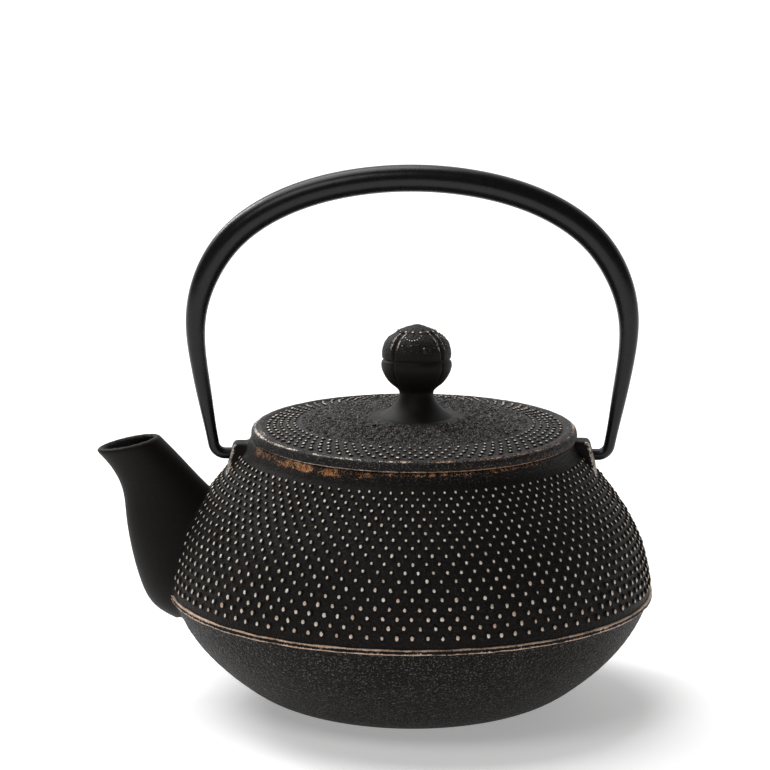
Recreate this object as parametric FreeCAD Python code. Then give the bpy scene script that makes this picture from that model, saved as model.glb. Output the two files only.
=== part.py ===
import FreeCAD, Part
import math
import os

# Cast iron teapot with a rolled steel bail, a lid with a plum-bud knob and a steel infuser basket.
# Millimetres. Origin at the centre of the flat base, +Z up, spout towards -X, bail hinged about X.

V = FreeCAD.Vector
UP = V(0, 0, 1)
ORIGIN = V(0, 0, 0)

# Pot casting: bowl, shoulder and spout are one pour of iron, kept as three pieces that meet face to face
BASE_R = 38.0           # flat disc that the pot stands on
RIDGE_R = 75.0          # widest point, on the bead round the waist
RIDGE_Z = 34.3
RIDGE_HALF = 0.8        # half the height of the bead
PARTING_Z = RIDGE_Z - RIDGE_HALF    # where the mould's two halves met, just under the bead
WALL = 3.0              # thickness of the iron
FLOOR = 3.5             # thickness of the iron under the tea
COLLAR_R = 50.0
COLLAR_Z = 81.4         # the collar is upright above this
COLLAR_TOP = 82.6       # the lid rests here
SEAT_R = 46.5           # rebate that holds the infuser's flange
SEAT_Z = 81.0
MOUTH_R = 42.5
MOUTH_Z = 77.6          # where the mouth's bore widens into the bowl
ENAMEL = 0.4            # glassy lining of the bowl

# Lower bowl and shoulder outlines as (radius, height)
BOWL = [(BASE_R, 0.0), (47.0, 3.2), (55.2, 8.6), (63.2, 15.8), (70.0, 24.6), (74.2, RIDGE_Z - RIDGE_HALF)]
SHOULDER = [(74.5, RIDGE_Z + RIDGE_HALF), (73.0, 43.5), (69.2, 54.5), (62.2, 65.5), (53.0, 77.0)]
NECK_FILLET = (51.0, 79.2)

# Ears that carry the bail, in line with the spout
PIVOT_Z = 77.2
EAR_HALF_WIDTH = 4.0
EAR_OUTLINE = [(47.5, 81.0), (53.9, 81.0), (55.5, 79.6), (56.6, 76.4), (57.6, 71.5), (47.5, 71.5)]
EAR_HOLE_R = 2.2
EAR_HOLE_END = 50.6     # the hole is blind and stops short of the neck
EAR_CLEAR = 60.0        # outside both ears

# Spout: each section runs from its outer edge to its inner edge, both as (x, z), and is an ellipse
# with the given half width across. The first section is the mouth.
SPOUT = [
    ((-97.4, 77.8), (-77.6, 82.2), 8.2),
    ((-93.6, 73.5), (-73.8, 78.3), 7.7),
    ((-90.0, 66.8), (-69.6, 73.8), 7.9),
    ((-88.7, 58.5), (-64.2, 68.0), 8.8),
    ((-87.4, 49.0), (-58.0, 61.0), 10.6),
    ((-84.8, 38.6), (-56.5, 54.0), 12.8),
    ((-80.4, 29.6), (-57.5, 46.0), 14.2),
    ((-73.2, 25.0), (-60.0, 38.0), 12.5),
]
SPOUT_WALL = 2.3
SPOUT_RIM = 1.5         # wall at the mouth
BORE_SECTIONS = 7       # the bore follows this many sections and opens into the bowl
BORE_RISE = 1.5         # how far the bore's cutter stands out of the mouth

# Lid casting
LID_R = 50.4
LID_BAND = 3.0          # height of the lid's plain edge
LID_EDGE = 0.5          # chamfer on that edge
BORDER_IN_R = 46.4
BORDER_Z = 86.0
LID_TOP = [(45.8, 85.6), (36.0, 87.2), (25.0, 88.5), (11.5, 89.5)]
KNOB_SEAT_Z = 89.5
LID_UNDER_Z = 85.4      # flat spot at the top of the hollow under the lid
LID_UNDER_R = 6.5
LID_STEP = 0.8          # the hollow starts this far above the lid's seat
FLANGE_R = 37.2         # locating flange, inside the infuser
FLANGE_WALL = 2.4
FLANGE_Z = 76.5

# Plum-bud knob outline as (radius, height), foot to top
KNOB_FOOT = [(11.0, KNOB_SEAT_Z), (9.0, 90.9), (6.9, 92.8), (5.2, 94.9), (5.2, 96.7), (7.7, 99.2)]
KNOB_LOWER = [(7.7, 99.2), (9.7, 101.7), (10.7, 104.2), (10.1, 106.3)]
KNOB_UPPER = [(10.1, 106.3), (10.5, 108.8), (9.8, 111.8), (7.8, 114.3), (3.7, 116.9), (0.0, 117.8)]

# Fixing of the knob: a steel stud through the lid, with a washer and a nut underneath
STUD_R = 2.0
STUD_HOLE_R = 2.3
STUD_TOP = 100.0
WASHER_R = 4.5
WASHER_T = 0.8
NUT_ACROSS_FLATS = 7.0
NUT_T = 3.2
STUD_PROUD = 1.2

# Infuser basket of stainless steel
STEEL = 0.5
MESH = 0.35
INFUSER_FLANGE_R = 46.0
BASKET_R = 38.6         # outside of the end rings and inside of the mesh
BASKET_FLOOR_Z = 44.0
TOP_SKIRT = 5.0
BASE_SKIRT = 4.0
BASE_LIP = 2.0          # width of the lip under the mesh floor
SEAM_HALF = 2.5

# Bail: centre line of one half in the XZ plane with the tube's diameter there
BAIL_HALF = [
    (0.0, 162.6, 8.4),
    (20.1, 160.8, 8.4),
    (41.4, 154.0, 8.4),
    (55.7, 143.7, 8.3),
    (63.0, 132.5, 7.7),
    (66.5, 119.2, 6.4),
    (65.6, 104.2, 5.2),
    (63.9, 94.1, 4.6),
    (61.9, 83.0, 3.6),
    (61.2, 79.3, 3.5),
]
BAIL_WALL = 0.8
BAIL_SECTIONS = 17      # sections from one end of the tube to the other
BAIL_SOLID_ENDS = 2     # sections at each end where the rolled tube is closed up
BAIL_ACROSS = 1.04      # the tube is this much wider across the pot than along it
HOOK_BEND = 2.6         # centre-line radius of the bend above each hook
HOOK_TIP = 51.2


def xz(point):
    """A point (x, z) or (radius, height) in the XZ plane."""
    return V(point[0], 0, point[1])


def line(a, b):
    return Part.LineSegment(xz(a), xz(b)).toShape()


def chain(points):
    """Straight edges from point to point."""
    return [line(a, b) for a, b in zip(points, points[1:])]


def smooth(points):
    """One smooth curve through the points."""
    curve = Part.BSplineCurve()
    curve.interpolate([xz(p) for p in points])
    return curve


def offset_inwards(points, distance):
    """The same outline moved towards the axis, along the curve's own normals."""
    curve = smooth(points)
    moved = []
    for p in points:
        tangent = curve.tangent(curve.parameter(xz(p)))[0]
        moved.append((p[0] - tangent.z * distance, p[1] + tangent.x * distance))
    return moved


def revolve(edges):
    """Solid of revolution about Z from the edges of a closed outline."""
    face = Part.Face(Part.Wire(Part.__sortEdges__(edges)))
    return face.revolve(ORIGIN, UP, 360)


def ring(r_in, r_out, z_low, z_high):
    outer = Part.makeCylinder(r_out, z_high - z_low, V(0, 0, z_low))
    return outer.cut(Part.makeCylinder(r_in, z_high - z_low, V(0, 0, z_low)))


def ellipse_section(centre, along, half_along, half_across):
    """An ellipse with one axis in the XZ plane along the given direction and the other along Y."""
    across = V(0, 1, 0)
    if half_along >= half_across:
        curve = Part.Ellipse(centre + along * half_along, centre + across * half_across, centre)
    else:
        curve = Part.Ellipse(centre + across * half_across, centre - along * half_along, centre)
    return curve.toShape()


def loft(sections):
    return Part.makeLoft([Part.Wire([s]) for s in sections], True, False)


def spout_solid(shrink, count, rise=0.0):
    """Lofted spout, or its bore when shrink is the wall at the mouth and further in."""
    sections = []
    for i, (outer, inner, half_width) in enumerate(SPOUT[:count]):
        wall = 0.0 if shrink is None else shrink[min(i, 1)]
        a, b = xz(outer), xz(inner)
        along = (b - a).normalize()
        centre = (a + b) * 0.5
        half = (b - a).Length / 2 - wall
        if i == 0 and rise:
            lift = V(-along.z, 0, along.x) * rise
            sections.append(ellipse_section(centre + lift, along, half, half_width - wall))
        sections.append(ellipse_section(centre, along, half, half_width - wall))
    return loft(sections)


def ear(side):
    points = [(side * x, z) for x, z in EAR_OUTLINE]
    edges = chain(points + points[:1])
    face = Part.Face(Part.Wire(edges))
    face.translate(V(0, -EAR_HALF_WIDTH, 0))
    return face.extrude(V(0, 2 * EAR_HALF_WIDTH, 0))


def ear_hole(side):
    start = V(side * EAR_HOLE_END, 0, PIVOT_Z)
    return Part.makeCylinder(EAR_HOLE_R, EAR_CLEAR - EAR_HOLE_END, start, V(side, 0, 0))


def outside():
    """The pot's outer form without its ears and spout, as one solid."""
    ridge = Part.Arc(xz(BOWL[-1]), xz((RIDGE_R, RIDGE_Z)), xz(SHOULDER[0])).toShape()
    fillet = Part.Arc(xz(SHOULDER[-1]), xz(NECK_FILLET), xz((COLLAR_R, COLLAR_Z))).toShape()
    edges = [line((0, 0), BOWL[0]), smooth(BOWL).toShape(), ridge, smooth(SHOULDER).toShape(), fillet]
    edges += chain([(COLLAR_R, COLLAR_Z), (COLLAR_R, COLLAR_TOP), (0, COLLAR_TOP), (0, 0)])
    return revolve(edges)


def bowl_space(inset, top):
    """The hollow of the bowl, at a distance in from the pot's outer surface."""
    low = [p for p in offset_inwards(BOWL, inset) if p[1] > FLOOR + inset - WALL]
    high = offset_inwards(SHOULDER, inset)
    floor_z = FLOOR + inset - WALL
    floor_r = BASE_R + inset
    mouth = MOUTH_R - (inset - WALL)
    edges = [line((0, floor_z), (floor_r, floor_z))]
    edges.append(smooth([(floor_r, floor_z)] + low[1:] + high[1:]).toShape())
    edges += chain([high[-1], (mouth, MOUTH_Z - (inset - WALL)), (mouth, top), (0, top), (0, floor_z)])
    return revolve(edges)


def spout_bore():
    return spout_solid((SPOUT_RIM, SPOUT_WALL), BORE_SECTIONS, BORE_RISE)


def slab(low, high):
    """Everything of the pot between two heights."""
    return Part.makeCylinder(2 * RIDGE_R, high - low, V(0, 0, low))


def bowl_casting():
    """The pot below its waist, down to the flat base."""
    return outside().common(slab(0, PARTING_Z)).cut(bowl_space(WALL, SEAT_Z))


def shoulder_casting():
    """The pot from the waist bead up to the collar, with its ears and the opening into the spout."""
    shoulder = outside().common(slab(PARTING_Z, COLLAR_TOP)).fuse([ear(-1), ear(1)])
    seat = Part.makeCylinder(SEAT_R, COLLAR_TOP - SEAT_Z, V(0, 0, SEAT_Z))
    shoulder = shoulder.cut([bowl_space(WALL, SEAT_Z), seat])
    return shoulder.cut([spout_bore(), ear_hole(-1), ear_hole(1)])


def spout_casting():
    return spout_solid(None, len(SPOUT)).cut([outside(), spout_bore()])


def enamel_lining():
    skin = bowl_space(WALL, SEAT_Z).cut(bowl_space(WALL + ENAMEL, SEAT_Z))
    return skin.cut(spout_bore())


def lid_casting():
    under = COLLAR_TOP
    edge_top = under + LID_BAND
    outline = [
        (0, KNOB_SEAT_Z),
        (0, LID_UNDER_Z),
        (LID_UNDER_R, LID_UNDER_Z),
        (FLANGE_R - FLANGE_WALL, under + LID_STEP),
        (FLANGE_R - FLANGE_WALL, FLANGE_Z),
        (FLANGE_R, FLANGE_Z),
        (FLANGE_R, under),
        (LID_R - LID_EDGE, under),
        (LID_R, under + LID_EDGE),
        (LID_R, edge_top - LID_EDGE),
        (LID_R - LID_EDGE, edge_top),
        (BORDER_IN_R, BORDER_Z),
        LID_TOP[0],
    ]
    edges = chain(outline) + [smooth(LID_TOP).toShape()] + chain([LID_TOP[-1], (0, KNOB_SEAT_Z)])
    lid = revolve(edges)
    hole = Part.makeCylinder(STUD_HOLE_R, KNOB_SEAT_Z - LID_UNDER_Z, V(0, 0, LID_UNDER_Z))
    return lid.cut(hole)


def plum_knob():
    edges = chain([KNOB_UPPER[-1], (0, KNOB_SEAT_Z), KNOB_FOOT[0]])
    edges += [smooth(p).toShape() for p in (KNOB_FOOT, KNOB_LOWER, KNOB_UPPER)]
    knob = revolve(edges)
    return knob.cut(Part.makeCylinder(STUD_R, STUD_TOP - KNOB_SEAT_Z, V(0, 0, KNOB_SEAT_Z)))


def knob_stud():
    bottom = LID_UNDER_Z - WASHER_T - NUT_T - STUD_PROUD
    return Part.makeCylinder(STUD_R, STUD_TOP - bottom, V(0, 0, bottom))


def stud_washer():
    return ring(STUD_R, WASHER_R, LID_UNDER_Z - WASHER_T, LID_UNDER_Z)


def stud_nut():
    corner = NUT_ACROSS_FLATS / math.sqrt(3)
    low = LID_UNDER_Z - WASHER_T - NUT_T
    turns = [math.radians(60 * i) for i in range(7)]
    outline = Part.makePolygon([V(corner * math.cos(t), corner * math.sin(t), low) for t in turns])
    blank = Part.Face(outline).extrude(V(0, 0, NUT_T))
    return blank.cut(Part.makeCylinder(STUD_R, NUT_T, V(0, 0, low)))


def infuser_rim():
    """Flange that hangs in the mouth's rebate, with a short skirt inside the mesh."""
    flange = ring(BASKET_R - STEEL, INFUSER_FLANGE_R, SEAT_Z, SEAT_Z + STEEL)
    return flange.fuse(ring(BASKET_R - STEEL, BASKET_R, SEAT_Z - TOP_SKIRT, SEAT_Z)).removeSplitter()


def infuser_mesh_wall():
    return ring(BASKET_R, BASKET_R + MESH, BASKET_FLOOR_Z, SEAT_Z)


def infuser_base_ring():
    """Cup-shaped ring inside the bottom of the mesh, with a lip that carries the mesh floor."""
    skirt = ring(BASKET_R - STEEL, BASKET_R, BASKET_FLOOR_Z, BASKET_FLOOR_Z + BASE_SKIRT)
    lip = ring(BASKET_R - STEEL - BASE_LIP, BASKET_R - STEEL, BASKET_FLOOR_Z, BASKET_FLOOR_Z + STEEL)
    return skirt.fuse(lip).removeSplitter()


def infuser_mesh_floor():
    z = BASKET_FLOOR_Z + STEEL
    return Part.makeCylinder(BASKET_R - STEEL, MESH, V(0, 0, z))


def infuser_seam():
    """Strip that laps the ends of the wall mesh, on the side away from the spout."""
    band = ring(BASKET_R + MESH, BASKET_R + MESH + STEEL, BASKET_FLOOR_Z, SEAT_Z - STEEL)
    window = Part.makeBox(BASKET_R, 2 * SEAM_HALF, SEAT_Z, V(BASKET_R / 2, -SEAM_HALF, 0))
    return band.common(window)


def bail_curve():
    """Centre line of the whole bail. Its Y is the tube's diameter, which so varies smoothly."""
    right = [V(x, diameter, z) for x, z, diameter in BAIL_HALF]
    left = [V(-p.x, p.y, p.z) for p in reversed(right[1:])]
    curve = Part.BSplineCurve()
    curve.interpolate(left + right)
    return curve


def bail_sections(wall, skip):
    """Ellipses square to the centre line, with the given wall taken off, without the end ones."""
    curve = bail_curve()
    span = curve.LastParameter - curve.FirstParameter
    sections = []
    for i in range(skip, BAIL_SECTIONS - skip):
        u = curve.FirstParameter + span * i / (BAIL_SECTIONS - 1)
        point = curve.value(u)
        tangent = curve.tangent(u)[0]
        along = V(-tangent.z, 0, tangent.x).normalize()
        radius = point.y / 2 - wall
        sections.append(ellipse_section(V(point.x, 0, point.z), along, radius, radius * BAIL_ACROSS))
    return sections


def bail_hook(side):
    """Bend and hook at one end of the tube, and the height of the hook's axis."""
    end = bail_sections(0.0, 0)[0 if side < 0 else -1]
    foot = BAIL_HALF[-1]
    curve = bail_curve()
    rise = curve.tangent(curve.FirstParameter)[0]
    lean = math.atan2(-rise.x, rise.z)
    centre = V(side * (foot[0] - HOOK_BEND * math.cos(lean)), 0, foot[1] + HOOK_BEND * math.sin(lean))
    face = Part.Face(Part.Wire([end]))
    turn = side * (90 - math.degrees(lean))
    bend = face.revolve(centre, V(0, 1, 0), turn)
    last = face.copy()
    last.rotate(centre, V(0, 1, 0), turn)
    rod = last.extrude(V(-side * (abs(centre.x) - HOOK_TIP), 0, 0))
    return [bend, rod], centre.z - HOOK_BEND


def bail():
    tube = loft(bail_sections(0.0, 0))
    left, hook_z = bail_hook(-1)
    right, _ = bail_hook(1)
    tube = tube.fuse(left + right)
    tube = tube.cut(loft(bail_sections(BAIL_WALL, BAIL_SOLID_ENDS)))
    tube.translate(V(0, 0, PIVOT_Z - hook_z))
    return tube


NODES = {
    "bowl_casting": bowl_casting,
    "shoulder_casting": shoulder_casting,
    "spout_casting": spout_casting,
    "enamel_lining": enamel_lining,
    "lid_casting": lid_casting,
    "plum_knob": plum_knob,
    "knob_stud": knob_stud,
    "stud_washer": stud_washer,
    "stud_nut": stud_nut,
    "infuser_rim": infuser_rim,
    "infuser_mesh_wall": infuser_mesh_wall,
    "infuser_base_ring": infuser_base_ring,
    "infuser_mesh_floor": infuser_mesh_floor,
    "infuser_seam": infuser_seam,
    "bail": bail,
}

os.makedirs("parts", exist_ok=True)
for name, make in NODES.items():
    shape = make()
    shape.exportStep(f"parts/{name}.step")
    box = shape.BoundBox
    print(f"{name}: {len(shape.Solids)} solid, valid {shape.isValid()}, {shape.Volume / 1000:.2f} cm3, "
          f"x {box.XMin:.2f} {box.XMax:.2f}, y {box.YMin:.2f} {box.YMax:.2f}, z {box.ZMin:.2f} {box.ZMax:.2f}")
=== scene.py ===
import math

import bmesh
import bpy
import numpy as np
from mathutils import Matrix, Vector
from mathutils.bvhtree import BVHTree


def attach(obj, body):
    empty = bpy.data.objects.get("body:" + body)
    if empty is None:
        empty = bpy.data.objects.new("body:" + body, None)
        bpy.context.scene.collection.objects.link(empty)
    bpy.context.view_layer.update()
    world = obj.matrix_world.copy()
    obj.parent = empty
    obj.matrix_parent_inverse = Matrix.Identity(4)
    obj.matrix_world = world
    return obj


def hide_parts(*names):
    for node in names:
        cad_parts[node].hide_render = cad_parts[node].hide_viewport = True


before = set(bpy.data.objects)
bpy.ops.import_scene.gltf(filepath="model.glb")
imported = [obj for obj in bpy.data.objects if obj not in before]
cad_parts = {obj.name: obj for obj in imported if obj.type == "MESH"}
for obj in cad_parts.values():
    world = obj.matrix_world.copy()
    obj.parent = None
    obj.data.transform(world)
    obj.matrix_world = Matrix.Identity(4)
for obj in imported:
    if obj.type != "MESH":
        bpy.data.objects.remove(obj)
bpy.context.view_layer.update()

# Lengths below are in millimetres, and mesh_object turns them into metres.
# Z is up, the spout points along -X, and the camera stands on the -Y side.
MM = 0.001
SEED = 7
random = np.random.default_rng(SEED)

AXIS_R = 0.01       # a turned outline starts and ends this close to the axis
CENTRE_R = 20.0     # flat discs have one more ring of points here
FAR = 9.0           # stands for any distance too great to matter

# Pot
BASE_R = 38.0
RIDGE_R, RIDGE_Z, RIDGE_HALF = 75.1, 34.3, 0.8
WALL, FLOOR_WALL = 3.0, 3.5
WAIST_INNER_R = 71.3
COLLAR_R, COLLAR_TOP, COLLAR_BEVEL = 50.0, 82.6, 0.3
SEAT_R, SEAT_Z = 46.5, 81.0
MOUTH_R, MOUTH_Z = 42.5, 77.6
BOWL = [(BASE_R, 0.0), (47.0, 3.2), (55.2, 8.6), (63.2, 15.8), (70.0, 24.6), (74.2, 33.5)]
SHOULDER = [(74.5, 35.1), (73.0, 43.5), (69.2, 54.5), (62.2, 65.5), (53.0, 77.0)]
NECK = [(53.0, 77.0), (51.0, 79.2), (COLLAR_R, 81.4)]
PIVOT_Z = 77.2
EAR_HALF_WIDTH = 3.7
EAR_ROOT_X = 46.0
# an ear from the side, as (|x|, z from its top)
EAR = [(EAR_ROOT_X, 0.0), (55.1, 0.0), (56.4, -4.6), (57.5, -9.4), (EAR_ROOT_X, -13.0)]
EAR_FLARE, EAR_FLARE_Z = 0.55, (77.5, 70.5)
EAR_TOPS = {-1: 80.8, 1: 81.9}
EAR_CORNER = ([71.0, 75.0, 80.0, 81.5], [57.6, 56.9, 55.6, 54.6])   # heights, and |x| of the corner there
EAR_FOOT_Z = 71.5
EAR_HOLE_R, EAR_HOLE_END = 2.2, 50.6
SPOUT = [
    ((-97.4, 77.8), (-77.6, 82.2), 8.2),
    ((-93.6, 73.5), (-73.8, 78.3), 7.7),
    ((-90.0, 66.8), (-69.6, 73.8), 7.9),
    ((-88.7, 58.5), (-64.2, 68.0), 8.8),
    ((-87.4, 49.0), (-58.0, 61.0), 10.6),
    ((-84.8, 38.6), (-56.5, 54.0), 12.8),
    ((-80.4, 29.6), (-57.5, 46.0), 14.2),
    ((-73.2, 25.0), (-60.0, 38.0), 12.5),
]
LIP_MIDDLE, LIP_SLOPE, LIP_END_X = (-87.5, 80.4), 0.222, -76.0   # (x, z) of the mouth's rim
VOXEL = 0.6
SMOOTHING = 4

# Nubs of the shoulder
NUB_ROWS = 19
NUBS_AROUND = 104
NUB_LOW_Z, NUB_HIGH_Z = 38.4, 77.0

# Lid and knob
LID_R = 50.4
LID_SKIRT = [(AXIS_R, 85.4), (6.5, 85.4), (34.8, 83.4), (34.8, 76.5), (37.2, 76.5), (37.2, 82.6)]
LID_BORDER = [
    (49.7, 82.6), (LID_R, 83.2), (LID_R, 84.6), (49.9, 85.5), (48.8, 86.0), (47.4, 86.1), (46.5, 85.62),
]
LID_TOP = [(46.2, 85.6), (36.0, 87.2), (25.0, 88.5), (11.5, 89.5)]
LID_RINGS = [45.2, 43.2, 41.2, 39.1, 37.0]
LID_NUBS_AROUND = 78
LID_SLOPE = 0.15
LID_NUB_R = 45.0                              # where a nub has its full size
LID_UNDERSIDE_Z = 82.7
ROUGH_R, SMOOTH_RING = 35.5, (12.0, 17.0)     # the rough field, and the smooth ring round the knob
KNOB = [
    (11.8, 89.1), (10.2, 90.0), (8.4, 91.2), (6.7, 93.0), (5.5, 95.1), (5.2, 96.8),
    (7.5, 99.2), (9.6, 101.7), (10.7, 104.3), (10.75, 106.0), (10.5, 107.0), (10.6, 108.0),
    (10.55, 109.8), (9.8, 112.2), (7.9, 114.4), (5.3, 115.9), (2.6, 117.2), (0.0, 117.9),
]
PETALS = 4
CAP_BEADS = 16
LID_SHIFT, KNOB_SHIFT = 0.8, 1.4
KNOB_LEAN = 4.5
KNOB_NECK_Z, KNOB_WAIST_Z = 96.0, 107.0

# Bail: half of its centre line as (x, z) with the tube's diameter
BAIL_HALF = [
    (0.0, 162.6, 8.4), (20.1, 160.8, 8.4), (41.4, 154.0, 8.4), (55.7, 143.7, 8.3), (63.0, 132.5, 7.7),
    (66.5, 119.2, 6.4), (65.6, 104.2, 5.2), (63.9, 94.1, 4.6), (61.9, 83.0, 3.6), (61.2, 79.3, 3.5),
]
HOOK_BEND, HOOK_TIP = 3.6, 51.2
TUBE_OVAL = 1.04


# ---------------------------------------------------------------- shapes

def spline(points, count):
    """Points on a natural cubic curve through the given ones, evenly spaced along it."""
    p = np.array(points, float)
    t = np.concatenate([[0.0], np.cumsum(np.linalg.norm(np.diff(p, axis=0), axis=1))])
    h = np.diff(t)
    n = len(p)
    a = np.eye(n)
    b = np.zeros_like(p)
    for i in range(1, n - 1):
        a[i, i - 1:i + 2] = h[i - 1], 2 * (h[i - 1] + h[i]), h[i]
        b[i] = 6 * ((p[i + 1] - p[i]) / h[i] - (p[i] - p[i - 1]) / h[i - 1])
    m = np.linalg.solve(a, b)
    s = np.linspace(0, t[-1], count)
    k = np.clip(np.searchsorted(t, s, side="right") - 1, 0, n - 2)
    left = (t[k + 1] - s)[:, None]
    right = (s - t[k])[:, None]
    hk = h[k][:, None]
    bend = (m[k] * left ** 3 + m[k + 1] * right ** 3) / (6 * hk)
    return bend + (p[k] / hk - m[k] * hk / 6) * left + (p[k + 1] / hk - m[k + 1] * hk / 6) * right


def rounded(points, radius, steps=5):
    """An open outline whose inner corners are rounded off by about the given radius."""
    p = [np.array(q, float) for q in points]
    out = [p[0]]
    for before, corner, after in zip(p, p[1:], p[2:]):
        reach_in = min(radius, np.linalg.norm(before - corner) * 0.45)
        reach_out = min(radius, np.linalg.norm(after - corner) * 0.45)
        start = corner + (before - corner) / np.linalg.norm(before - corner) * reach_in
        end = corner + (after - corner) / np.linalg.norm(after - corner) * reach_out
        for t in np.linspace(0, 1, steps):
            out.append((1 - t) ** 2 * start + 2 * t * (1 - t) * corner + t ** 2 * end)
    return out + [p[-1]]


def mesh_object(name, verts, faces):
    """A smooth-shaded object from points in millimetres."""
    mesh = bpy.data.meshes.new(name)
    mesh.from_pydata((np.asarray(verts, float) * MM).tolist(), [], faces)
    work = bmesh.new()
    work.from_mesh(mesh)
    bmesh.ops.recalc_face_normals(work, faces=work.faces)
    work.to_mesh(mesh)
    work.free()
    mesh.shade_smooth()
    obj = bpy.data.objects.new(name, mesh)
    bpy.context.scene.collection.objects.link(obj)
    return obj


def grid_faces(rows, columns, first=0, close_rows=False):
    """Quads between rows of points that each close on themselves."""
    faces = []
    for i in range(rows if close_rows else rows - 1):
        low = first + i * columns
        high = first + (i + 1) % rows * columns
        for j in range(columns):
            k = (j + 1) % columns
            faces.append((low + j, low + k, high + k, high + j))
    return faces


def tube_mesh(rings):
    """Verts and faces of a closed solid through rings of points, capped at both ends."""
    rings = np.asarray(rings, float)
    rows, columns = rings.shape[:2]
    verts = [rings[0].mean(0)] + list(rings.reshape(-1, 3)) + [rings[-1].mean(0)]
    last = len(verts) - 1
    faces = grid_faces(rows, columns, 1)
    for j in range(columns):
        k = (j + 1) % columns
        faces.append((0, 1 + k, 1 + j))
        faces.append((last, last - columns + j, last - columns + k))
    return verts, faces


def turned_rings(outline, segments):
    """Rings of points about Z, one for each (radius, height)."""
    angle = np.linspace(0, 2 * math.pi, segments, endpoint=False)
    return np.array([[(r * c, r * s, z) for c, s in zip(np.cos(angle), np.sin(angle))] for r, z in outline])


def turned(name, outline, segments):
    """Solid of revolution. The outline starts and ends near the axis."""
    verts, faces = tube_mesh(turned_rings(outline, segments))
    return mesh_object(name, verts, faces)


def joined(name, parts):
    """One object from several, as (verts, faces) pairs."""
    verts, faces, start = [], [], 0
    for v, f in parts:
        verts.extend(np.asarray(v, float).tolist())
        faces.extend(tuple(i + start for i in face) for face in f)
        start += len(v)
    return mesh_object(name, verts, faces)


def coordinates(obj):
    """The object's points in millimetres."""
    co = np.empty(len(obj.data.vertices) * 3)
    obj.data.vertices.foreach_get("co", co)
    return co.reshape(-1, 3) / MM


def set_coordinates(obj, points):
    obj.data.vertices.foreach_set("co", (np.asarray(points) * MM).ravel())
    obj.data.update()


def set_values(obj, name, values):
    """A number for each point, which the material reads."""
    layer = obj.data.attributes.get(name) or obj.data.attributes.new(name, "FLOAT", "POINT")
    layer.data.foreach_set("value", np.clip(values, 0, 1).astype(np.float32))


def mark(obj, wear, grain_and_glint, copper):
    """Sets how worn, grainy and coppery each point is, from one number or a number for each. The grain value
    also sets how strong the painted glints are there.
    """
    for name, values in (("wear", wear), ("grain_and_glint", grain_and_glint), ("copper", copper)):
        set_values(obj, name, np.broadcast_to(values, len(obj.data.vertices)))


def degrees_from_spout(points):
    """Angle about Z from the spout, through 90 at the front to 180 on the right."""
    return np.degrees(np.arctan2(-points[:, 1], -points[:, 0]))


def apply_modifiers(obj):
    depsgraph = bpy.context.evaluated_depsgraph_get()
    mesh = bpy.data.meshes.new_from_object(obj.evaluated_get(depsgraph))
    obj.modifiers.clear()
    obj.data = mesh
    mesh.shade_smooth()


def boolean(obj, other, operation):
    """Unites obj with other, or cuts other out of it. other is used up."""
    step = obj.modifiers.new(operation.lower(), "BOOLEAN")
    step.operation = operation
    step.solver = "MANIFOLD"
    step.object = other
    apply_modifiers(obj)
    bpy.data.objects.remove(other)


def bvh_of(obj):
    """A tree for distances to an object, in metres."""
    return BVHTree.FromObject(obj, bpy.context.evaluated_depsgraph_get())


def distance_to(trees, point):
    """Distance in millimetres to the nearest of some surfaces."""
    return min(tree.find_nearest(Vector(point) * MM)[3] for tree in trees) / MM


def is_inside(tree, point):
    """Whether a point in millimetres lies inside a closed surface."""
    ray = Vector((0.31, 0.17, 0.94)).normalized()
    place, crossings = tree.ray_cast(Vector(point) * MM, ray)[0], 0
    while place is not None:
        crossings += 1
        place = tree.ray_cast(place + ray * MM * 0.001, ray)[0]
    return crossings % 2 == 1


def waves(points, scale, seed, count=24):
    """Smooth random values between about -1 and 1, as a sum of plane waves."""
    source = np.random.default_rng(seed)
    total = np.zeros(len(points))
    for _ in range(count):
        direction = source.normal(size=3)
        direction *= source.uniform(0.6, 1.5) / np.linalg.norm(direction) * 2 * math.pi / scale
        total += np.sin(points @ direction + source.uniform(0, 2 * math.pi))
    return total / math.sqrt(count / 2) / 1.6


def smoothstep(low, high, x):
    t = np.clip((x - low) / (high - low), 0, 1)
    return t * t * (3 - 2 * t)


# ---------------------------------------------------------------- pot

def spout_rings(count, wall=(0.0, 0.0), last=None):
    """Ellipses along the spout, from the mouth down, with a wall taken off at the mouth and further in."""
    table = [(a[0], a[1], b[0], b[1], w) for a, b, w in SPOUT[:last]]
    rings = []
    angle = np.linspace(0, 2 * math.pi, 72, endpoint=False)
    for i, (ax, az, bx, bz, half) in enumerate(spline(table, count)):
        thickness = wall[0] + (wall[1] - wall[0]) * smoothstep(0, count * 0.12, i)
        a, b = np.array([ax, 0, az]), np.array([bx, 0, bz])
        length = np.linalg.norm(b - a) / 2
        along = (b - a) / (2 * length)
        ring = [(a + b) / 2 + along * (length - thickness) * math.cos(t)
                + np.array([0, half - thickness, 0]) * math.sin(t) for t in angle]
        rings.append(np.array(ring))
    return rings


def beyond(ring, grow, lift):
    """A spout ring drawn again further out of the mouth, grown or shrunk by a length."""
    middle = ring.mean(0)
    out = np.cross(ring[0] - middle, ring[18] - middle)
    out *= lift / np.linalg.norm(out) * (1 if out[2] > 0 else -1)
    spokes = ring - middle
    return middle + spokes * (1 + grow / np.linalg.norm(spokes, axis=1)[:, None]) + out


def spout_form():
    rings = spout_rings(60)
    verts, faces = tube_mesh([beyond(rings[0], -1.1, 0.75), beyond(rings[0], -0.35, 0.5)] + rings)
    return mesh_object("spout", verts, faces)


def spout_bore():
    rings = spout_rings(30, (2.3, 2.5), -1)
    verts, faces = tube_mesh([beyond(rings[0], 0.9, 2.0), beyond(rings[0], 0.25, 0.5)] + rings)
    return mesh_object("bore", verts, faces)


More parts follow.
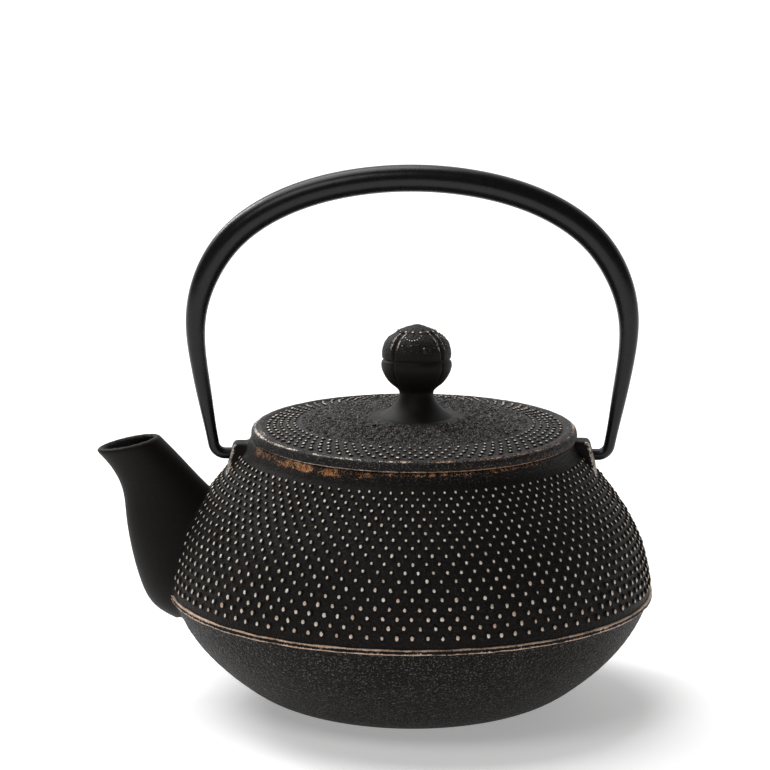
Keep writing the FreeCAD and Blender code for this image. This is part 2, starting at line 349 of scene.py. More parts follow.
def ear_block(side):
    """An ear whose front and back spread out at the foot."""
    outline = rounded(EAR, 1.0)
    rings = []
    for y in np.linspace(-1, 1, 13):
        ring = []
        for x, drop in outline:
            z = EAR_TOPS[side] + drop
            spread = 1.0 + EAR_FLARE * smoothstep(*EAR_FLARE_Z, z)
            shrink = 1.0 - 0.04 * smoothstep(0.75, 1.0, abs(y))
            out = EAR_ROOT_X + (x - EAR_ROOT_X) * shrink
            ring.append((side * out, y * EAR_HALF_WIDTH * spread, z))
        rings.append(ring)
    verts, faces = tube_mesh(rings)
    return mesh_object("ear", verts, faces)


def pot_skin():
    """The pot's outer form with spout and ears run together as cast iron does."""
    outline = [(AXIS_R, 0.0), (CENTRE_R, 0.0)] + list(spline(BOWL, 60)) + list(spline(SHOULDER, 60))
    outline += list(spline(NECK, 8))[1:]
    outline += [(COLLAR_R, COLLAR_TOP - COLLAR_BEVEL), (COLLAR_R - COLLAR_BEVEL, COLLAR_TOP)]
    outline += [(CENTRE_R, COLLAR_TOP), (AXIS_R, COLLAR_TOP)]
    skin = turned("pot_casting", outline, 256)
    spout = spout_form()
    spout_tree = bvh_of(spout)
    boolean(skin, spout, "UNION")
    boolean(skin, spout_bore(), "DIFFERENCE")
    ear_trees = []
    for side in (-1, 1):
        ear = ear_block(side)
        ear_trees.append(bvh_of(ear))
        boolean(skin, ear, "UNION")
    remesh = skin.modifiers.new("remesh", "REMESH")
    remesh.mode = "VOXEL"
    remesh.voxel_size = VOXEL * MM
    smooth = skin.modifiers.new("smooth", "SMOOTH")
    smooth.factor = 0.5
    smooth.iterations = SMOOTHING
    apply_modifiers(skin)
    return skin, spout_tree, ear_trees


def hollow(skin):
    """Cuts the bowl, the mouth and the ear holes."""
    # the wall is set off along the mean slope of each part
    inner_bowl = [(r - WALL * 0.80, z + WALL * 0.62) for r, z in BOWL[1:-1]]
    inner_top = [(r - WALL * 0.86, z - WALL * 0.5) for r, z in SHOULDER[1:]]
    middle = [(BASE_R + 4.0, FLOOR_WALL)] + inner_bowl + [(WAIST_INNER_R, RIDGE_Z)] + inner_top
    outline = [(AXIS_R, FLOOR_WALL), (CENTRE_R, FLOOR_WALL)] + list(spline(middle, 70))
    outline += [(MOUTH_R, MOUTH_Z), (MOUTH_R, SEAT_Z + 0.2), (AXIS_R, SEAT_Z + 0.2)]
    boolean(skin, turned("bowl", outline, 192), "DIFFERENCE")
    over = COLLAR_TOP + 1
    seat = [(AXIS_R, SEAT_Z), (SEAT_R, SEAT_Z), (SEAT_R, over), (AXIS_R, over)]
    boolean(skin, turned("seat", seat, 192), "DIFFERENCE")
    for side in (-1, 1):
        angle = np.linspace(0, 2 * math.pi, 40, endpoint=False)
        rings = [[(side * x, EAR_HOLE_R * math.cos(t), PIVOT_Z + EAR_HOLE_R * math.sin(t)) for t in angle]
                 for x in (EAR_HOLE_END, 62.0)]
        verts, faces = tube_mesh(rings)
        boolean(skin, mesh_object("hole", verts, faces), "DIFFERENCE")


def ridge_bead():
    """The bead round the waist: a low band with two worn edges."""
    half = RIDGE_HALF
    lower = [(73.6, -half), (RIDGE_R - 0.2, -half), (RIDGE_R + 0.05, -half * 0.72), (RIDGE_R, -half * 0.4)]
    section = lower + [(RIDGE_R - 0.18, 0.0)] + [(r, -z) for r, z in reversed(lower)]
    segments = 900
    rings = turned_rings([(r, RIDGE_Z + z) for r, z in section], segments)
    points = rings.reshape(-1, 3)
    radius = np.hypot(points[:, 0], points[:, 1])
    grow = 1 + 0.06 * waves(points, 4.0, 3) / radius * (radius > 74)
    points[:, :2] *= grow[:, None]
    points[:, 2] += 0.07 * waves(points, 9.0, 4)
    return points, grid_faces(len(section), segments, close_rows=True)


NUB_SHAPE = [(1.0, -0.35), (0.93, 0.06), (0.76, 0.42), (0.57, 0.74), (0.30, 0.95), (0.0, 1.0)]
NUB_SIDES = 10


def nub(place, normal, radius, height, stretch=1.0):
    """A low cone with a worn, rounded tip, and how near each of its points is to the tip."""
    normal = np.asarray(normal) / np.linalg.norm(normal) + random.normal(0, 0.07, 3)
    normal /= np.linalg.norm(normal)
    side = np.cross(normal, (0.01, 0.02, 1.0))
    side /= np.linalg.norm(side)
    other = np.cross(normal, side) * stretch
    side = side / stretch
    verts, tips = [], []
    turn = random.uniform(0, math.pi)
    for r, h in NUB_SHAPE[:-1]:
        for i in range(NUB_SIDES):
            t = turn + 2 * math.pi * i / NUB_SIDES
            spoke = math.cos(t) * side + math.sin(t) * other
            verts.append(place + radius * r * spoke + normal * height * h)
            tips.append(h)
    verts.append(place + normal * height)
    tips.append(1.0)
    last = len(verts) - 1
    rim = last - NUB_SIDES
    faces = grid_faces(len(NUB_SHAPE) - 1, NUB_SIDES)
    faces += [(rim + i, rim + (i + 1) % NUB_SIDES, last) for i in range(NUB_SIDES)]
    faces.append(tuple(reversed(range(NUB_SIDES))))
    return verts, faces, tips


def shoulder_nubs(trees):
    """Staggered rows of nubs, closer and smaller towards the neck, with none on the spout or the ears."""
    curve = spline(SHOULDER, 600)
    length = np.concatenate([[0.0], np.cumsum(np.linalg.norm(np.diff(curve, axis=0), axis=1))])
    low = np.interp(NUB_LOW_Z, curve[:, 1], length)
    high = np.interp(NUB_HIGH_Z, curve[:, 1], length)
    # the gap between rows shrinks with the radius
    pitch = 1 / np.interp(np.linspace(low, high, 400), length, curve[:, 0])
    progress = np.concatenate([[0.0], np.cumsum((pitch[1:] + pitch[:-1]) / 2)])
    steps = np.interp(np.linspace(0, progress[-1], NUB_ROWS), progress, np.linspace(low, high, 400))
    parts, tips = [], []
    for row, s in enumerate(steps):
        r = np.interp(s, length, curve[:, 0])
        z = np.interp(s, length, curve[:, 1])
        ahead = np.array([np.interp(s + 0.2, length, curve[:, i]) for i in (0, 1)])
        behind = np.array([np.interp(s - 0.2, length, curve[:, i]) for i in (0, 1)])
        slope = ahead - behind
        size = r / 75.0
        for i in range(NUBS_AROUND):
            t = 2 * math.pi * (i + 0.5 * (row % 2)) / NUBS_AROUND + random.normal(0, 0.0018)
            place = np.array([r * math.cos(t), r * math.sin(t), z + random.normal(0, 0.06)])
            normal = np.array([slope[1] * math.cos(t), slope[1] * math.sin(t), -slope[0]])
            scale = size * random.normal(1.0, 0.06)
            if distance_to(trees, place) < 1.1 * size or any(is_inside(tree, place) for tree in trees):
                continue
            verts, faces, tip = nub(place, normal, 1.08 * scale, 0.86 * scale, random.normal(1.13, 0.04))
            parts.append((verts, faces))
            tips.extend(tip)
    return parts, tips


def mark_skin(skin, spout_tree, ear_trees):
    """Makes the casting a little uneven and sets where it is worn, grainy and coppery; where it is grainy,
    painted glints show.
    """
    points = coordinates(skin)
    x, y, z = np.abs(points[:, 0]), np.abs(points[:, 1]), points[:, 2]
    radius = np.hypot(x, y)
    near_spout = np.full(len(points), FAR)
    for i in np.flatnonzero(points[:, 0] < -52):
        near_spout[i] = distance_to([spout_tree], points[i])
    near_ears = np.full(len(points), FAR)
    beside_ears = (x > EAR_ROOT_X) & (z > 64) & (y < 12)
    for i in np.flatnonzero(beside_ears):
        near_ears[i] = distance_to(ear_trees, points[i])
    on_spout = smoothstep(1.0, 0.2, near_spout) * (radius > 50)
    on_ear = smoothstep(1.2, 0.3, near_ears)
    in_bowl = smoothstep(RIDGE_Z + 0.4, RIDGE_Z - 0.4, z)
    outward = points / np.linalg.norm(points - [0, 0, 40], axis=1)[:, None]
    uneven = 0.05 * waves(points, 16.0, 11)
    uneven += 0.07 * waves(points, 2.2, 12, 40) * in_bowl * (1 - on_spout)
    uneven *= (radius > 47.5) & (z > 1.0)
    set_coordinates(skin, points + outward * uneven[:, None])
    azimuth = degrees_from_spout(points)
    left_front = smoothstep(8, 20, azimuth) * smoothstep(108, 55, azimuth)
    front = smoothstep(8, 20, azimuth) * smoothstep(165, 140, azimuth)
    on_neck = (radius < 52.5) & (radius > 48.5) & (near_ears > 0.5)
    neck = smoothstep(77.9, 81.0, z) * on_neck
    edge = smoothstep(-2.6, -0.9, x - np.interp(z, *EAR_CORNER)) * on_ear
    edge *= smoothstep(EAR_HALF_WIDTH - 1.6, EAR_HALF_WIDTH - 0.5, y)
    edge *= z > EAR_FOOT_Z
    from_mouth = z - LIP_MIDDLE[1] - LIP_SLOPE * (points[:, 0] - LIP_MIDDLE[0])
    lip = smoothstep(1.3, 0.4, np.abs(from_mouth)) * (points[:, 0] < LIP_END_X)
    collar = smoothstep(80.5, 81.5, z) * front * on_neck
    patch = neck * (0.08 + 0.19 * front + 0.23 * left_front + 0.07 * waves(points, 9.0, 13))
    wear = np.maximum.reduce([patch, 0.49 * collar, 0.58 * edge, 0.24 * lip])
    # grain is strongest in the bowl, and the painted glints are strongest there with it
    grain_and_glint = (0.25 + 0.75 * in_bowl) * (1 - on_spout) * (1 - on_ear) + 0.06
    grain_and_glint = np.where(neck > 0.4, 0.4, grain_and_glint)
    mark(skin, wear, grain_and_glint, np.where(neck > 0.02, 0.75 + 0.25 * left_front, 0.15))


def build_bead():
    band = joined("bead", [ridge_bead()])
    points = coordinates(band)
    outside = np.hypot(points[:, 0], points[:, 1]) > RIDGE_R - 0.6
    height = np.abs(points[:, 2] - RIDGE_Z) / RIDGE_HALF
    spread = 0.07 * waves(points, 12.0, 5)
    mark(band, 0.38 + spread + 0.30 * smoothstep(0.3, 0.75, height) * outside, 0.2, 0.5)
    return band


def build_shoulder_nubs(trees):
    parts, tips = shoulder_nubs(trees)
    nubs = joined("nubs", parts)
    place = coordinates(nubs)
    low = smoothstep(60.0, 40.0, place[:, 2])
    strength = 0.84 + 0.14 * waves(place, 4.0, 21)
    wear = smoothstep(0.52 - 0.14 * low, 1.0, np.array(tips)) * strength
    mark(nubs, wear, 0.15, 0.10 + 0.20 * low + 0.15 * waves(place, 6.0, 22))
    return nubs


def build_pot():
    skin, spout_tree, ear_trees = pot_skin()
    hollow(skin)
    mark_skin(skin, spout_tree, ear_trees)
    return merge(skin, [build_bead(), build_shoulder_nubs([spout_tree] + ear_trees)])


def shifted(obj, along_x):
    """Moves an object's points along X, as a loose part sits in its play."""
    points = coordinates(obj)
    points[:, 0] += along_x
    set_coordinates(obj, points)
    return obj


def merge(main, others):
    """Joins finished objects with their point values into the first one."""
    with bpy.context.temp_override(active_object=main, selected_editable_objects=[main] + others):
        bpy.ops.object.join()
    return main


# ---------------------------------------------------------------- lid

def build_lid():
    top = list(spline(LID_TOP, 90))
    outline = rounded(LID_SKIRT + LID_BORDER + [top[0]], 0.35) + top[1:] + [(6.0, 89.6), (AXIS_R, 89.6)]
    lid = turned("lid_casting_detailed", outline, 420)
    points = coordinates(lid)
    radius = np.hypot(points[:, 0], points[:, 1])
    upper = points[:, 2] > LID_UNDERSIDE_Z
    rough = smoothstep(ROUGH_R, ROUGH_R - 1.2, radius) * smoothstep(*SMOOTH_RING, radius)
    rough *= points[:, 2] > 86.5
    lift = 0.32 * rough * waves(points, 2.0, 31, 60) + 0.03 * upper * waves(points, 2.2, 32)
    points[:, 2] += lift
    side = (radius > 49.0) & upper
    points[:, :2] *= (1 + side * 0.07 * waves(points, 2.6, 33) / np.maximum(radius, 1))[:, None]
    set_coordinates(lid, points)
    azimuth = degrees_from_spout(points)
    rub = 0.90 + 0.10 * smoothstep(60, 10, np.abs(azimuth - 15)) + 0.10 * waves(points, 11.0, 34)
    on_border = smoothstep(46.3, 47.2, radius) * smoothstep(85.35, 85.7, points[:, 2])
    top_edge = on_border * smoothstep(48.0, 49.2, radius)
    low_edge = smoothstep(83.35, 83.0, points[:, 2]) * (radius > 49.6)
    wear = np.maximum.reduce([0.43 * on_border * rub, 0.58 * top_edge * rub, 0.60 * low_edge])
    # the rough field takes full grain, so it carries the most painted glints
    mark(lid, wear, np.maximum(rough, 0.3 * (radius > 35)) + 0.08, 0.15 + 0.55 * smoothstep(60, 110, azimuth))
    return shifted(merge(lid, [build_lid_nubs(np.array(top))]), LID_SHIFT)


def build_lid_nubs(curve):
    parts, tips = [], []
    for row, r in enumerate(LID_RINGS):
        z = np.interp(-r, -curve[:, 0], curve[:, 1])
        for i in range(LID_NUBS_AROUND):
            t = 2 * math.pi * (i + 0.5 * (row % 2)) / LID_NUBS_AROUND + random.normal(0, 0.002)
            place = np.array([r * math.cos(t), r * math.sin(t), z])
            normal = np.array([LID_SLOPE * math.cos(t), LID_SLOPE * math.sin(t), 1.0])
            scale = r / LID_NUB_R * random.normal(1.0, 0.07)
            verts, faces, tip = nub(place, normal, 0.86 * scale, 0.58 * scale)
            parts.append((verts, faces))
            tips.extend(tip)
    nubs = joined("lid_nubs", parts)
    strength = 0.76 + 0.12 * waves(coordinates(nubs), 7.0, 35)
    mark(nubs, smoothstep(0.5, 1.0, np.array(tips)) * strength, 0.15, 0.15)
    return nubs


# ---------------------------------------------------------------- knob

KNOB_CURVE = spline(KNOB, 240)
KNOB_MIDDLE = np.array([0.0, 0.0, KNOB_WAIST_Z])
PETAL_TURN = 2 * math.pi / PETALS
FRONT_PETAL = math.radians(-87)


def from_petal(angle):
    """Angle from the middle of the nearest petal."""
    return (angle - FRONT_PETAL + PETAL_TURN / 2) % PETAL_TURN - PETAL_TURN / 2


def knob_point(angle, step):
    """A point of the plum bud: four petals over four lobes, with a cap on top."""
    r, z = KNOB_CURVE[step]
    from_groove = (PETAL_TURN / 2 - abs(from_petal(angle))) * max(r, 3.0)
    upper = smoothstep(107.2, 108.0, z) * smoothstep(116.2, 115.2, z)
    lower = smoothstep(99.0, 102.5, z) * smoothstep(106.9, 106.1, z)
    groove = math.exp(-(from_groove / 0.42) ** 2)
    swell = math.exp(-((from_groove - 1.1) / 0.5) ** 2)
    bulge = math.sin(min(1.0, from_groove / 7.0) * math.pi / 2)
    depth = upper * (0.70 * groove - 0.10 * swell + 0.22 * (1 - bulge))
    depth += lower * (0.40 * groove + 0.18 * (1 - bulge))
    waist = 0.38 * math.exp(-((z - KNOB_WAIST_Z) / 0.34) ** 2)
    cap = 0.30 * smoothstep(115.2, 115.8, z) * smoothstep(117.2, 116.4, z)
    r = r + 0.10 - depth - waist + cap
    return np.array([r * math.cos(angle), r * math.sin(angle), z])


def bead_at(angle, z, size):
    """A small round bead standing on the bud."""
    place = knob_point(angle, int(np.argmin(np.abs(KNOB_CURVE[:, 1] - z))))
    return nub(place, place - KNOB_MIDDLE, size, size * 0.6)


def petal_beads(middle):
    """Beads of a petal as (angle, height, radius): a chain hanging in a curve, and a few around it."""
    chain = [(middle - 0.22 + 0.36 * u, 113.6 + 1.3 * u * u, 0.31) for u in np.linspace(-1, 1, 9)]
    drops = [(middle - 0.24, 112.2, 0.30), (middle - 0.52, 112.0, 0.26), (middle + 0.16, 111.4, 0.28)]
    edges = [(middle + 0.60 + 0.01 * k, 114.0 - 0.9 * k, 0.24) for k in range(4)]
    return chain + drops + edges


def leaning(points):
    """The bud leans back a little above its neck."""
    turn = np.radians(KNOB_LEAN) * smoothstep(KNOB_NECK_Z - 3, KNOB_NECK_Z + 3, points[:, 2])
    y, z = points[:, 1], points[:, 2] - KNOB_NECK_Z
    back = y * np.cos(turn) + z * np.sin(turn)
    up = KNOB_NECK_Z + z * np.cos(turn) - y * np.sin(turn)
    return np.column_stack([points[:, 0], back, up])


def build_knob():
    segments = 288
    angles = np.linspace(0, 2 * math.pi, segments, endpoint=False)
    rings = [[knob_point(a, i) for a in angles] for i in range(len(KNOB_CURVE) - 1)]
    verts, faces = tube_mesh(rings)
    knob = mesh_object("plum_knob_detailed", verts, faces)
    points = coordinates(knob)
    outward = (points - KNOB_MIDDLE) / np.linalg.norm(points - KNOB_MIDDLE, axis=1)[:, None]
    top = smoothstep(107.5, 110.0, points[:, 2])
    uneven = top * (0.05 * waves(points, 1.6, 41) + 0.03 * waves(points, 4.0, 42))
    points = points + outward * uneven[:, None]
    set_coordinates(knob, points)
    azimuth = np.arctan2(points[:, 1], points[:, 0])
    from_groove = (PETAL_TURN / 2 - np.abs(from_petal(azimuth))) * np.hypot(points[:, 0], points[:, 1])
    ridge = np.exp(-((from_groove - 1.2) / 0.45) ** 2)
    high = smoothstep(108.0, 111.5, points[:, 2]) * smoothstep(117.5, 115.5, points[:, 2])
    mark(knob, 0.40 * ridge * high + 0.16 * top, 0.02 + 0.30 * top, 0.3)
    merge(knob, [build_pearls()])
    set_coordinates(knob, leaning(coordinates(knob)))
    return shifted(knob, KNOB_SHIFT)


def build_pearls():
    """The ring of beads under the cap and the beads of every petal."""
    parts, tips = [], []
    beads = [(2 * math.pi * (i + 0.5) / CAP_BEADS, 115.75, 0.56) for i in range(CAP_BEADS)]
    for petal in range(PETALS):
        beads += petal_beads(FRONT_PETAL + petal * PETAL_TURN)
    for angle, z, size in beads:
        v, f, tip = bead_at(angle, z, size)
        parts.append((v, f))
        tips.extend(tip)
    pearls = joined("pearls", parts)
    strength = 0.80 + 0.12 * waves(coordinates(pearls), 5.0, 43)
    mark(pearls, smoothstep(0.3, 0.9, np.array(tips)) * strength, 0.1, 0.15)
    return pearls


# ---------------------------------------------------------------- bail

def bail_path():
    """Centre line of the bail as (x, z, diameter), hook tip to hook tip, and how far along a hook it is."""
    mirrored = [(-x, z, d) for x, z, d in reversed(BAIL_HALF[1:])]
    half = spline(mirrored + BAIL_HALF, 299)[149:]
    lean = math.atan2(half[-2][0] - half[-1][0], half[-2][1] - half[-1][1])
    x, z, diameter = half[-1]
    centre = (x - HOOK_BEND * math.cos(lean), z + HOOK_BEND * math.sin(lean))
    bend = [(centre[0] + HOOK_BEND * math.cos(t), centre[1] + HOOK_BEND * math.sin(t), diameter)
            for t in np.linspace(-lean, -math.pi / 2, 16)[1:]]
    end = bend[-1]
    rod = [(x, end[1], diameter) for x in np.linspace(end[0], HOOK_TIP, 14)[1:]]
    drop = PIVOT_Z - end[1]
    right = [(x, z + drop, d) for x, z, d in list(half) + bend + rod]
    hook = [0.0] * len(half) + list(np.linspace(0, 1, len(bend))) + [1.0] * len(rod)
    left = [(-x, z, d) for x, z, d in reversed(right[1:])]
    return np.array(left + right), np.array(list(reversed(hook[1:])) + hook)


def build_bail():
    path, hook = bail_path()
    seam_angles = math.pi + np.array([-0.30, -0.16, -0.08, 0.0, 0.08, 0.16, 0.30])
    round_angles = np.linspace(-math.pi + 0.5, math.pi - 0.5, 34)
    angles = np.concatenate([round_angles, seam_angles])
    seam = np.concatenate([np.zeros(len(round_angles)), [0.0, 0.15, 0.75, 1.0, 0.75, 0.15, 0.0]])
    rings, seams = [], []
    for i, (x, z, d) in enumerate(path):
        ahead = path[min(i + 1, len(path) - 1)][:2] - path[max(i - 1, 0)][:2]
        along = ahead / np.linalg.norm(ahead)
        out = np.array([-along[1], along[0]])
        depth = 0.30 + 0.9 * hook[i]
        widen = 1.0 + 2.2 * hook[i]
        tip = 1.0 - 0.25 * smoothstep(2, 0, min(i, len(path) - 1 - i))
        ring = []
        for a, s in zip(angles, seam):
            b = math.pi + (a - math.pi) * widen if s > 0 else a
            r = d / 2 * tip - depth * s
            across = out * r * math.cos(b)
            ring.append((x + across[0], TUBE_OVAL * r * math.sin(b), z + across[1]))
            seams.append(s)
        rings.append(ring)
    verts, faces = tube_mesh(rings)
    bail = mesh_object("bail_tube", verts, faces)
    points = coordinates(bail)
    groove = np.concatenate([[0], seams, [0]])
    edge = np.exp(-((groove - 0.15) / 0.1) ** 2) * (groove > 0)
    low = smoothstep(84.0, 78.0, points[:, 2])
    set_values(bail, "wear", 0.55 * edge * low + 0.18 * low)
    return bail


# ---------------------------------------------------------------- infuser

WIRE = 0.11
WIRE_PITCH = 0.95
BASKET_R = 38.78
BASKET_LOW, BASKET_HIGH = 44.1, 80.9


def wire(points):
    """A thin square-section wire through points."""
    p = np.asarray(points, float)
    ahead = np.gradient(p, axis=0)
    ahead /= np.linalg.norm(ahead, axis=1)[:, None]
    side = np.cross(ahead, (0.31, 0.17, 0.93))
    side /= np.linalg.norm(side, axis=1)[:, None]
    other = np.cross(ahead, side)
    rings = [[q + WIRE * (a * s + b * o) for a, b in ((1, 0), (0, 1), (-1, 0), (0, -1))]
             for q, s, o in zip(p, side, other)]
    return tube_mesh(rings)


def build_wall_mesh():
    """Wire cloth rolled into a cylinder: uprights pass in and out of the hoops."""
    around = 2 * round(math.pi * BASKET_R / WIRE_PITCH)
    hoops = round((BASKET_HIGH - BASKET_LOW) / WIRE_PITCH)
    heights = np.linspace(BASKET_LOW + WIRE_PITCH / 2, BASKET_HIGH - WIRE_PITCH / 2, hoops)
    parts = []
    for i in range(around):
        t = 2 * math.pi * i / around
        levels = np.concatenate([[BASKET_LOW], heights, [BASKET_HIGH]])
        weave = WIRE * np.where((np.arange(len(levels)) + i) % 2, 1, -1)
        parts.append(wire([((BASKET_R + w) * math.cos(t), (BASKET_R + w) * math.sin(t), z)
                           for w, z in zip(weave, levels)]))
    for k, z in enumerate(heights):
        t = 2 * math.pi * np.arange(around + 1) / around
        weave = WIRE * np.where((np.arange(around + 1) + k) % 2, 1, -1)
        r = BASKET_R + weave
        parts.append(wire(np.column_stack([r * np.cos(t), r * np.sin(t), np.full(len(t), z)])))
    return joined("basket_wall_cloth", parts)


def build_floor_mesh():
    """Wire cloth cut to a disc."""
    radius, z = 37.9, 44.72
    count = int(radius / WIRE_PITCH)
    parts = []
    for i in range(-count, count + 1):
        across = i * WIRE_PITCH
        reach = math.sqrt(radius ** 2 - across ** 2)
        steps = int(reach / WIRE_PITCH)
        if steps < 2:
            continue
        k = np.arange(-steps, steps + 1)
        weave = WIRE * np.where((k + i) % 2, 1, -1)
        run = k * WIRE_PITCH
        flat = np.full(len(run), across)
        parts.append(wire(np.column_stack([run, flat, z + weave])))
        parts.append(wire(np.column_stack([flat, run, z - weave])))
    return joined("basket_floor_cloth", parts)


# ---------------------------------------------------------------- materials

class Paint:
    """A node material on one Principled shader, with short names for the nodes used here."""

    def __init__(self, name, metallic=0.0, roughness=0.5, specular=0.5):
        self.material = bpy.data.materials.new(name)
        self.material.use_nodes = True
        self.tree = self.material.node_tree
        self.shader = self.tree.nodes["Principled BSDF"]
        self.shader.inputs["Metallic"].default_value = metallic
        self.shader.inputs["Roughness"].default_value = roughness
        self.shader.inputs["Specular IOR Level"].default_value = specular
        self.place = self.node("ShaderNodeTexCoord").outputs["Object"]

    def node(self, kind, **settings):
        new = self.tree.nodes.new(kind)
        for key, value in settings.items():
            setattr(new, key, value)
        return new

    def feed(self, socket, value):
        if isinstance(value, bpy.types.NodeSocket):
            self.tree.links.new(value, socket)
        else:
            socket.default_value = value

    def value(self, name):
        return self.node("ShaderNodeAttribute", attribute_name=name).outputs["Fac"]

    def noise(self, size_mm, detail=2.0, rough=0.5, stretch=None):
        new = self.node("ShaderNodeTexNoise")
        place = self.place
        if stretch:
            mapping = self.node("ShaderNodeMapping")
            self.feed(mapping.inputs["Vector"], place)
            mapping.inputs["Scale"].default_value = stretch
            place = mapping.outputs["Vector"]
        self.feed(new.inputs["Vector"], place)
        new.inputs["Scale"].default_value = 1 / (size_mm * MM)
        new.inputs["Detail"].default_value = detail
        new.inputs["Roughness"].default_value = rough
        return new.outputs["Fac"]

    def maths(self, operation, a, b=0.0, clamp=False):
        new = self.node("ShaderNodeMath", operation=operation, use_clamp=clamp)
        self.feed(new.inputs[0], a)
        self.feed(new.inputs[1], b)
        return new.outputs[0]

    def step(self, x, low, high):
        """0 below low, 1 above high, smooth between."""
        new = self.node("ShaderNodeMapRange", interpolation_type="SMOOTHSTEP")
        self.feed(new.inputs["Value"], x)
        new.inputs["From Min"].default_value = low
        new.inputs["From Max"].default_value = high
        return new.outputs["Result"]

    def blend(self, share, a, b):
        """Colour a where share is 0 and b where it is 1."""
        new = self.node("ShaderNodeMix", data_type="RGBA")
        self.feed(new.inputs[0], share)
        self.feed(new.inputs[6], a)
        self.feed(new.inputs[7], b)
        return new.outputs[2]

    def mix(self, share, a, b):
        new = self.node("ShaderNodeMix", data_type="FLOAT")
        self.feed(new.inputs[0], share)
        self.feed(new.inputs[2], a)
        self.feed(new.inputs[3], b)
        return new.outputs[0]

    def bump(self, height, depth_mm, under=None):
        new = self.node("ShaderNodeBump")
        new.inputs["Distance"].default_value = depth_mm * MM
        self.feed(new.inputs["Height"], height)
        if under:
            self.feed(new.inputs["Normal"], under)
        return new.outputs["Normal"]

    def finish(self, **sockets):
        for name, value in sockets.items():
            self.feed(self.shader.inputs[name.replace("_", " ")], value)
        return self.material


def rgb(r, g, b):
    return (r, g, b, 1.0)


def iron(name, black, brown, glint, specular=0.13):
    """Black lacquer on cast iron, with painted glints: pale specks in the colour stand in for highlights on
    the grain. Point values say how worn, grainy and coppery each place is; the grain value also sets where
    the painted glints show, and glint sets how strong they are.
    """
    p = Paint(name, specular=specular)
    wear, grain_and_glint, copper = p.value("wear"), p.value("grain_and_glint"), p.value("copper")
    fine = p.noise(0.36, 2.0, 0.6)
    coarse = p.noise(1.2, 2.0, 0.55)
    patch = p.maths("ADD", p.maths("MULTIPLY", fine, 0.6), p.maths("MULTIPLY", coarse, 0.4))
    worn = p.step(p.maths("ADD", wear, patch), 1.00, 1.10)
    coat = p.blend(p.noise(14.0, 3.0, 0.6), black, brown)
    mottle = p.maths("MULTIPLY", p.step(p.noise(0.7, 2.0, 0.6), 0.42, 0.60), grain_and_glint)
    coat = p.blend(p.maths("MULTIPLY", mottle, 0.5), coat, rgb(0.014, 0.012, 0.011))
    # painted highlights: bright specks where the grain is strong stand in for glints of light on the grain's
    # bumps
    speck = p.maths("MULTIPLY", p.step(p.noise(0.55, 1.0, 0.5), 0.58, 0.66), p.step(grain_and_glint, 0.2, 0.7))
    coat = p.blend(p.maths("MULTIPLY", speck, glint), coat, rgb(0.24, 0.215, 0.195))
    cream = p.blend(p.step(p.noise(2.4), 0.35, 0.65), rgb(0.60, 0.50, 0.40), rgb(0.82, 0.76, 0.68))
    orange = p.blend(p.step(p.noise(2.0), 0.35, 0.65), rgb(0.34, 0.125, 0.045), rgb(0.55, 0.28, 0.13))
    metal = p.blend(p.step(copper, 0.1, 0.9), cream, orange)
    colour = p.blend(worn, coat, metal)
    rough = p.mix(worn, p.mix(grain_and_glint, 0.58, 0.52), 0.40)
    normal = p.bump(p.maths("MULTIPLY", grain_and_glint, p.noise(0.8, 2.0, 0.6)), 1.6)
    normal = p.bump(fine, 0.03, normal)
    metallic = p.maths("MULTIPLY", worn, 0.25)
    return p.finish(Base_Color=colour, Roughness=rough, Metallic=metallic, Normal=normal)


def bail_paint():
    p = Paint("bail_black", specular=0.27)
    wear = p.value("wear")
    worn = p.step(p.maths("ADD", wear, p.noise(0.7, 3.0, 0.6)), 0.95, 1.10)
    coat = p.blend(p.noise(9.0, 3.0), rgb(0.0045, 0.0045, 0.005), rgb(0.0075, 0.0075, 0.008))
    colour = p.blend(worn, coat, rgb(0.10, 0.075, 0.060))
    rough = p.mix(p.noise(5.0, 4.0, 0.7), 0.22, 0.34)
    normal = p.bump(p.noise(0.5, 2.0, 0.5), 0.02, p.bump(p.noise(6.0, 1.0), 0.10))
    return p.finish(Base_Color=colour, Roughness=rough, Normal=normal)


def enamel_paint():
    p = Paint("black_enamel", roughness=0.16, specular=0.5)
    speck = p.step(p.noise(0.6, 2.0, 0.6), 0.66, 0.72)
    coat = p.blend(p.noise(12.0, 2.0), rgb(0.010, 0.011, 0.013), rgb(0.020, 0.021, 0.024))
    colour = p.blend(p.maths("MULTIPLY", speck, 0.4), coat, rgb(0.09, 0.09, 0.095))
    normal = p.bump(p.noise(5.0, 2.0), 0.25)
    return p.finish(Base_Color=colour, Normal=normal)


def steel_paint(name, tint, rough_low, rough_high, stretch):
    p = Paint(name, metallic=1.0)
    streak = p.noise(0.5, 4.0, 0.7, stretch)
    colour = p.blend(p.noise(6.0, 3.0), tint, rgb(*(c * 0.82 for c in tint[:3])))
    rough = p.mix(streak, rough_low, rough_high)
    return p.finish(Base_Color=colour, Roughness=rough, Normal=p.bump(streak, 0.02))


def set_material(obj, material):
    obj.data.materials.clear()
    obj.data.materials.append(material)


# ---------------------------------------------------------------- stage

ROOM_DIM, ROOM_WALL = 0.03, 0.95
CAMERA_TARGET = (-8.3, 0.0, 98.9)
CAMERA_DISTANCE = 1200.0
CAMERA_ELEVATION = 11.83
CAMERA_ROLL = 0.25
CAMERA_LENS = 181.8
FLOOR_Z, FLOOR_SIDES = -0.02, 64
FLOOR_RINGS = (200.0, 800.0, 3000.0, 9000.0)


